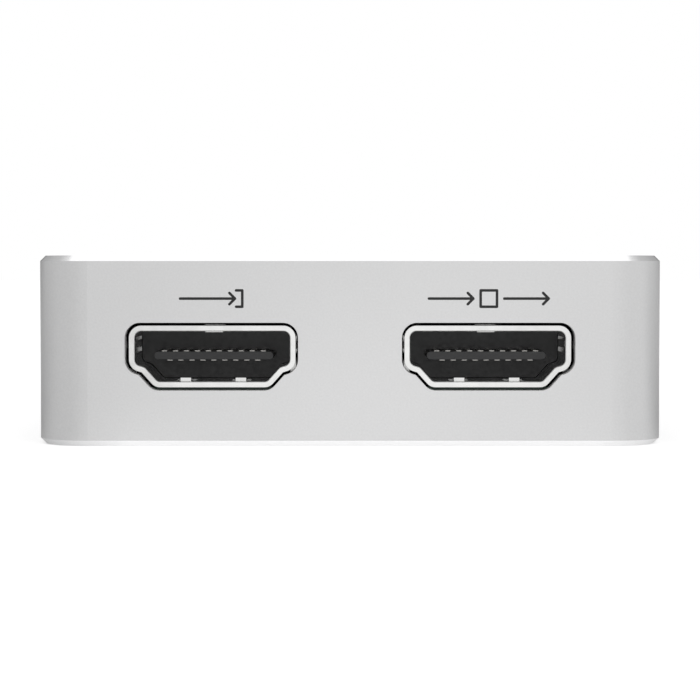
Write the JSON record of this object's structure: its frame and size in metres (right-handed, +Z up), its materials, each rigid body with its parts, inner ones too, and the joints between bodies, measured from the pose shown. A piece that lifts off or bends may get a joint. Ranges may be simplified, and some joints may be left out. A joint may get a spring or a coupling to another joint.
{
  "type": "video capture box",
  "caption": "Flat metal box that takes in a video signal, passes it through to a screen and sends it to a computer from a rear data socket.",
  "frame": {"origin": "middle of the underside's bounding rectangle", "axes": "the video sockets face -Y, +Y runs along the case to the data socket, +X is to the right seen from the front, +Z is up"},
  "size_m": [0.0566, 0.09, 0.0171],
  "materials": {
    "case_metal": "satin, bead blasted and clear anodised",
    "screw_steel": "satin",
    "socket_metal": "bright nickel plate",
    "socket_plastic": "moulded black",
    "contact_gold": "thin gold plate",
    "board_laminate": "dark green solder mask",
    "chip_plastic": "moulded black",
    "pad_rubber": "soft, matt",
    "film_plastic": "thin smooth sheet",
    "coil_ferrite": "pressed grey",
    "capacitor_resin": "moulded",
    "small_ceramic": "fired, tinned ends",
    "crystal_can": "plated can",
    "light_clear": "clear",
    "mark_ink": "black ink let in flush",
    "light_chip": "white, with a clear lens"
  },
  "bodies": {
    "root": {"housing": "case_metal", "base_plate": "case_metal", "base_screws": "screw_steel", "board_screws": "screw_steel", "input_socket_shell": "socket_metal", "loop_socket_shell": "socket_metal", "data_socket_shell": "socket_metal", "input_socket_insulator": "socket_plastic", "loop_socket_insulator": "socket_plastic", "data_socket_insulator": "socket_plastic", "input_upper_contacts": "contact_gold", "input_lower_contacts": "contact_gold", "loop_upper_contacts": "contact_gold", "loop_lower_contacts": "contact_gold", "data_contacts": "contact_gold", "main_board": "board_laminate", "video_processor": "chip_plastic", "memory_chips": "chip_plastic", "video_receiver": "chip_plastic", "loop_driver": "chip_plastic", "data_bus_chip": "chip_plastic", "settings_memory": "chip_plastic", "surge_arrays": "chip_plastic", "voltage_regulators": "chip_plastic", "heat_pad": "pad_rubber", "insulating_film": "film_plastic", "power_coils": "coil_ferrite", "bulk_capacitors": "capacitor_resin", "ceramic_capacitors": "small_ceramic", "resistors": "small_ceramic", "crystals": "crystal_can", "light_rod": "light_clear", "input_mark": "mark_ink", "loop_mark": "mark_ink", "status_light": "light_chip"}
  },
  "joints": []
}
